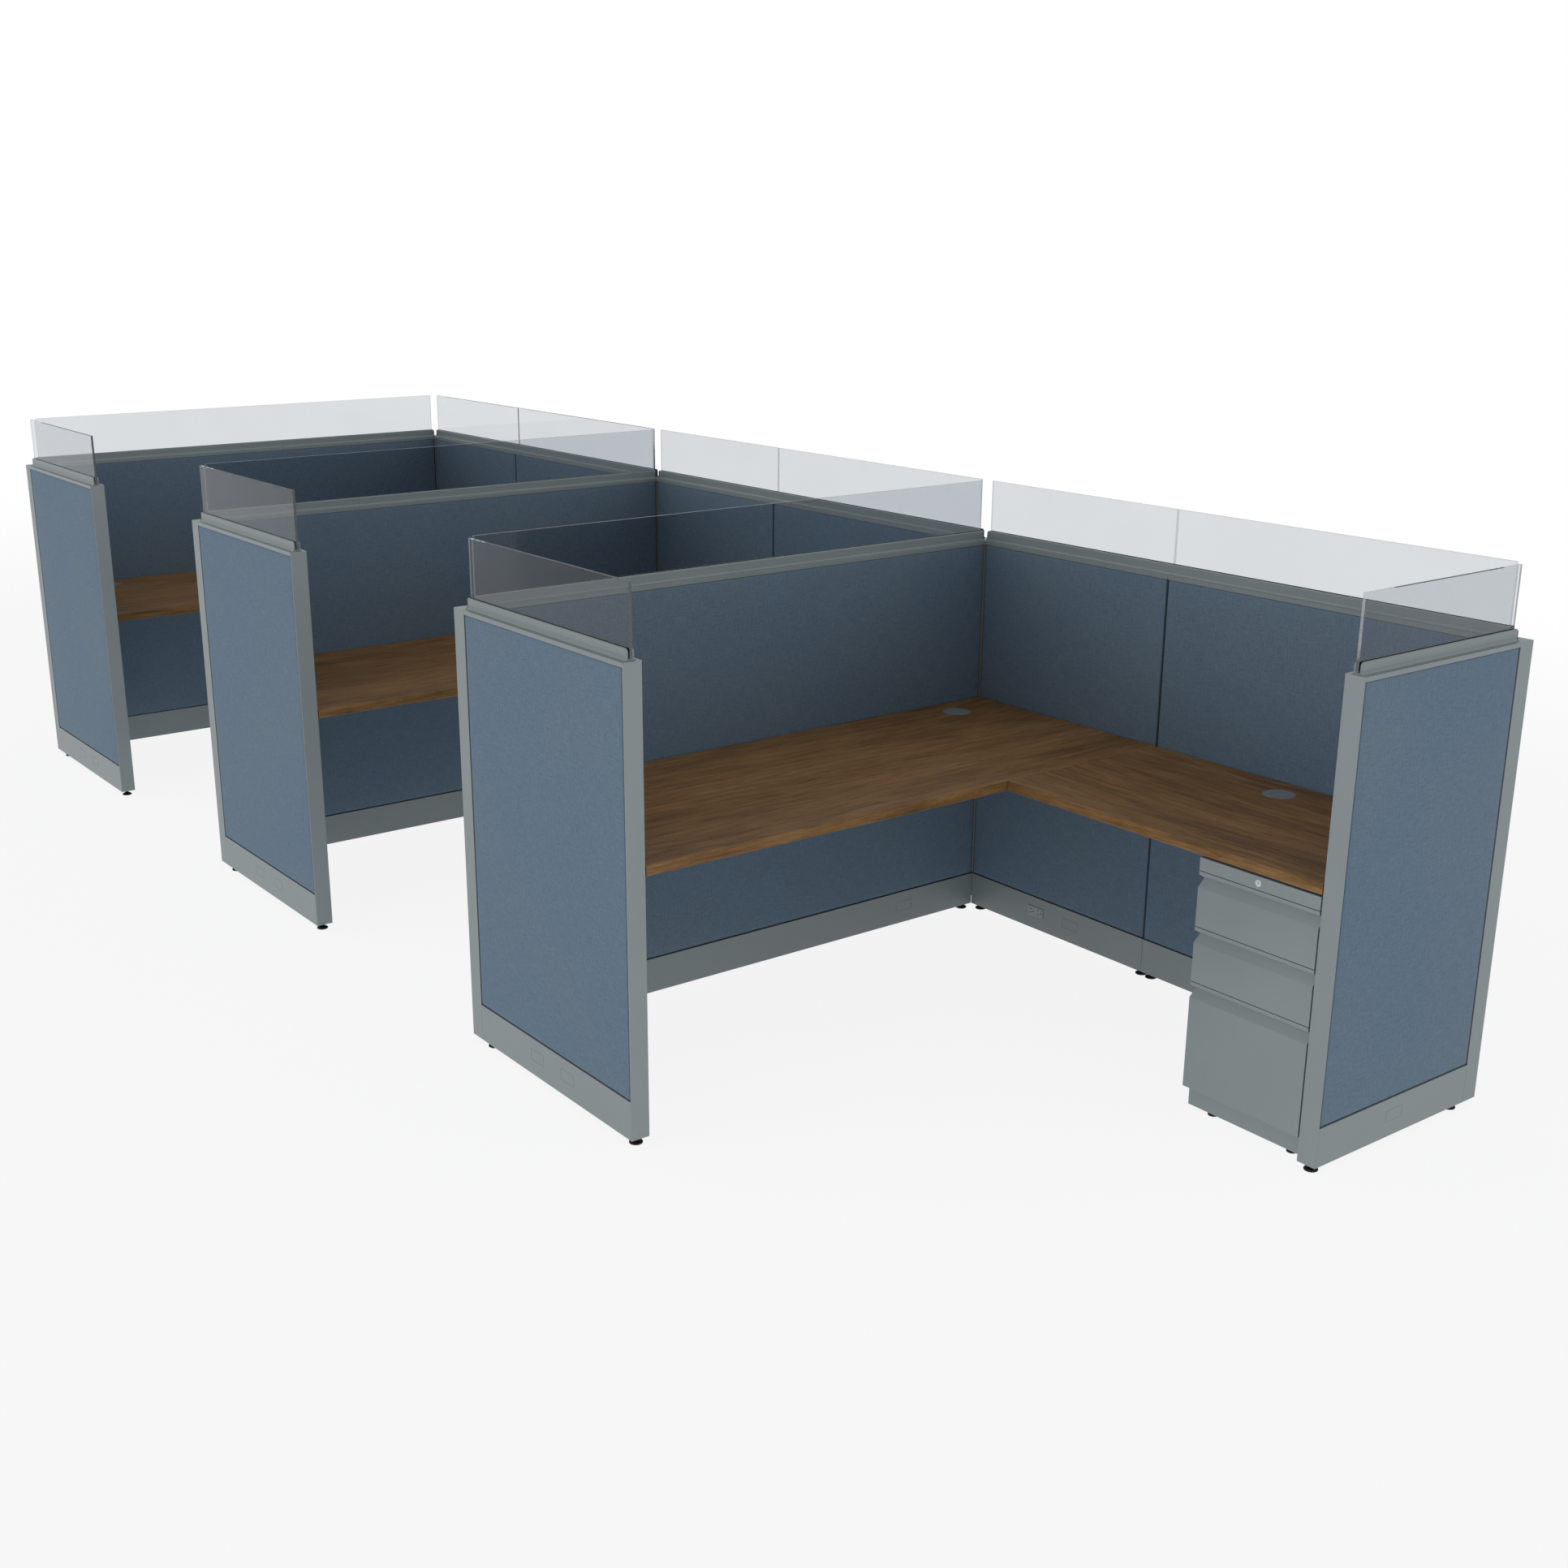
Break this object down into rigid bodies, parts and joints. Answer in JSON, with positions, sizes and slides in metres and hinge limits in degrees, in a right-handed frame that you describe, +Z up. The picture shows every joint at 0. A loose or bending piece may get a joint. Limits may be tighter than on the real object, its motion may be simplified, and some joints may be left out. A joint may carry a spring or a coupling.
{
  "type": "cubicle workstation",
  "caption": "Row of joined panel cubicles with glass toppers, L-shaped worktops, base cable raceways and locking drawer pedestals.",
  "frame": {"origin": "on the floor, at the centre of the row's bounding box", "axes": "+X along the row, +Y from the open side to the spine at the back, +Z up"},
  "size_m": [5.703, 1.937, 1.443],
  "materials": {
    "panel_fabric": "fine woven, matte",
    "trim_paint": "satin grey powder coat",
    "pedestal_paint": "satin grey powder coat",
    "trim_plastic": "matte",
    "post_aluminium": "mill finish",
    "frame_steel": "matte black",
    "worktop_laminate": "satin laminate, dark walnut grain",
    "pane_glass": "polished clear",
    "black_gasket": "matte",
    "black_plastic": "matte",
    "grey_plastic": "semi-gloss",
    "grommet_plastic": "fine matte",
    "conduit_steel": "galvanised",
    "zinc_steel": "zinc plated",
    "lock_chrome": "polished"
  },
  "bodies": {
    "row": {"panel_frames": "frame_steel", "spine_tiles": "panel_fabric", "divider_tiles": "panel_fabric", "wing_tiles": "panel_fabric", "raceway_covers": "trim_paint", "top_caps": "trim_paint", "glass_holders": "trim_paint", "glass_panes": "pane_glass", "glazing_gaskets": "black_gasket", "corner_posts": "post_aluminium", "post_covers": "trim_paint", "end_caps": "trim_plastic", "levelling_feet": "black_plastic", "power_harness": "conduit_steel", "receptacles": "grey_plastic", "main_worktops": "worktop_laminate", "return_worktops": "worktop_laminate", "worktop_brackets": "frame_steel", "worktop_fixings": "zinc_steel", "grommet_liners": "grommet_plastic", "grommet_caps": "grommet_plastic", "pedestal_case_1": "pedestal_paint", "pedestal_case_2": "pedestal_paint", "pedestal_case_3": "pedestal_paint", "lock_rails": "pedestal_paint", "slide_channels": "zinc_steel", "pedestal_feet": "black_plastic"},
    "top_drawer_1": {"top_drawer_front_1": "pedestal_paint", "top_drawer_box_1": "pedestal_paint"},
    "top_slides_1": {"top_drawer_slides_1": "zinc_steel"},
    "middle_drawer_1": {"middle_drawer_front_1": "pedestal_paint", "middle_drawer_box_1": "pedestal_paint"},
    "middle_slides_1": {"middle_drawer_slides_1": "zinc_steel"},
    "file_drawer_1": {"file_drawer_front_1": "pedestal_paint", "file_drawer_box_1": "pedestal_paint"},
    "file_slides_1": {"file_drawer_slides_1": "zinc_steel"},
    "lock_1": {"lock_plug_1": "lock_chrome"},
    "bar_1": {"lock_bar_1": "zinc_steel"},
    "top_drawer_2": {"top_drawer_front_2": "pedestal_paint", "top_drawer_box_2": "pedestal_paint"},
    "top_slides_2": {"top_drawer_slides_2": "zinc_steel"},
    "middle_drawer_2": {"middle_drawer_front_2": "pedestal_paint", "middle_drawer_box_2": "pedestal_paint"},
    "middle_slides_2": {"middle_drawer_slides_2": "zinc_steel"},
    "file_drawer_2": {"file_drawer_front_2": "pedestal_paint", "file_drawer_box_2": "pedestal_paint"},
    "file_slides_2": {"file_drawer_slides_2": "zinc_steel"},
    "lock_2": {"lock_plug_2": "lock_chrome"},
    "bar_2": {"lock_bar_2": "zinc_steel"},
    "top_drawer_3": {"top_drawer_front_3": "pedestal_paint", "top_drawer_box_3": "pedestal_paint"},
    "top_slides_3": {"top_drawer_slides_3": "zinc_steel"},
    "middle_drawer_3": {"middle_drawer_front_3": "pedestal_paint", "middle_drawer_box_3": "pedestal_paint"},
    "middle_slides_3": {"middle_drawer_slides_3": "zinc_steel"},
    "file_drawer_3": {"file_drawer_front_3": "pedestal_paint", "file_drawer_box_3": "pedestal_paint"},
    "file_slides_3": {"file_drawer_slides_3": "zinc_steel"},
    "lock_3": {"lock_plug_3": "lock_chrome"},
    "bar_3": {"lock_bar_3": "zinc_steel"}
  },
  "joints": [
    {"name": "top_drawer_slide_1", "type": "slide", "parent": "row", "child": "top_drawer_1", "axis": [0, -1, 0], "range_m": [0, 0.43]},
    {"name": "top_middle_member_1", "type": "slide", "parent": "row", "child": "top_slides_1", "axis": [0, -1, 0], "range_m": [0, 0.215]},
    {"name": "middle_drawer_slide_1", "type": "slide", "parent": "row", "child": "middle_drawer_1", "axis": [0, -1, 0], "range_m": [0, 0.43]},
    {"name": "middle_middle_member_1", "type": "slide", "parent": "row", "child": "middle_slides_1", "axis": [0, -1, 0], "range_m": [0, 0.215]},
    {"name": "file_drawer_slide_1", "type": "slide", "parent": "row", "child": "file_drawer_1", "axis": [0, -1, 0], "range_m": [0, 0.48]},
    {"name": "file_middle_member_1", "type": "slide", "parent": "row", "child": "file_slides_1", "axis": [0, -1, 0], "range_m": [0, 0.24]},
    {"name": "lock_turn_1", "type": "hinge", "parent": "row", "child": "lock_1", "pos_m": [-1.1555, 0.298, 0.69325], "axis": [0, -1, 0], "range_deg": [0, 90]},
    {"name": "bar_shift_1", "type": "slide", "parent": "row", "child": "bar_1", "axis": [-1, 0, 0], "range_m": [0, 0.008]},
    {"name": "top_drawer_slide_2", "type": "slide", "parent": "row", "child": "top_drawer_2", "axis": [0, -1, 0], "range_m": [0, 0.43]},
    {"name": "top_middle_member_2", "type": "slide", "parent": "row", "child": "top_slides_2", "axis": [0, -1, 0], "range_m": [0, 0.215]},
    {"name": "middle_drawer_slide_2", "type": "slide", "parent": "row", "child": "middle_drawer_2", "axis": [0, -1, 0], "range_m": [0, 0.43]},
    {"name": "middle_middle_member_2", "type": "slide", "parent": "row", "child": "middle_slides_2", "axis": [0, -1, 0], "range_m": [0, 0.215]},
    {"name": "file_drawer_slide_2", "type": "slide", "parent": "row", "child": "file_drawer_2", "axis": [0, -1, 0], "range_m": [0, 0.48]},
    {"name": "file_middle_member_2", "type": "slide", "parent": "row", "child": "file_slides_2", "axis": [0, -1, 0], "range_m": [0, 0.24]},
    {"name": "lock_turn_2", "type": "hinge", "parent": "row", "child": "lock_2", "pos_m": [0.7275, 0.298, 0.69325], "axis": [0, -1, 0], "range_deg": [0, 90]},
    {"name": "bar_shift_2", "type": "slide", "parent": "row", "child": "bar_2", "axis": [-1, 0, 0], "range_m": [0, 0.008]},
    {"name": "top_drawer_slide_3", "type": "slide", "parent": "row", "child": "top_drawer_3", "axis": [0, -1, 0], "range_m": [0, 0.43]},
    {"name": "top_middle_member_3", "type": "slide", "parent": "row", "child": "top_slides_3", "axis": [0, -1, 0], "range_m": [0, 0.215]},
    {"name": "middle_drawer_slide_3", "type": "slide", "parent": "row", "child": "middle_drawer_3", "axis": [0, -1, 0], "range_m": [0, 0.43]},
    {"name": "middle_middle_member_3", "type": "slide", "parent": "row", "child": "middle_slides_3", "axis": [0, -1, 0], "range_m": [0, 0.215]},
    {"name": "file_drawer_slide_3", "type": "slide", "parent": "row", "child": "file_drawer_3", "axis": [0, -1, 0], "range_m": [0, 0.48]},
    {"name": "file_middle_member_3", "type": "slide", "parent": "row", "child": "file_slides_3", "axis": [0, -1, 0], "range_m": [0, 0.24]},
    {"name": "lock_turn_3", "type": "hinge", "parent": "row", "child": "lock_3", "pos_m": [2.6105, 0.298, 0.69325], "axis": [0, -1, 0], "range_deg": [0, 90]},
    {"name": "bar_shift_3", "type": "slide", "parent": "row", "child": "bar_3", "axis": [-1, 0, 0], "range_m": [0, 0.008]}
  ],
  "couplings": [
    {"joint": "top_middle_member_1", "follows": "top_drawer_slide_1", "ratio": 0.5},
    {"joint": "middle_middle_member_1", "follows": "middle_drawer_slide_1", "ratio": 0.5},
    {"joint": "file_middle_member_1", "follows": "file_drawer_slide_1", "ratio": 0.5},
    {"joint": "lock_turn_1", "follows": "bar_shift_1", "rad_per_m": 196.35},
    {"joint": "top_middle_member_2", "follows": "top_drawer_slide_2", "ratio": 0.5},
    {"joint": "middle_middle_member_2", "follows": "middle_drawer_slide_2", "ratio": 0.5},
    {"joint": "file_middle_member_2", "follows": "file_drawer_slide_2", "ratio": 0.5},
    {"joint": "lock_turn_2", "follows": "bar_shift_2", "rad_per_m": 196.35},
    {"joint": "top_middle_member_3", "follows": "top_drawer_slide_3", "ratio": 0.5},
    {"joint": "middle_middle_member_3", "follows": "middle_drawer_slide_3", "ratio": 0.5},
    {"joint": "file_middle_member_3", "follows": "file_drawer_slide_3", "ratio": 0.5},
    {"joint": "lock_turn_3", "follows": "bar_shift_3", "rad_per_m": 196.35}
  ]
}
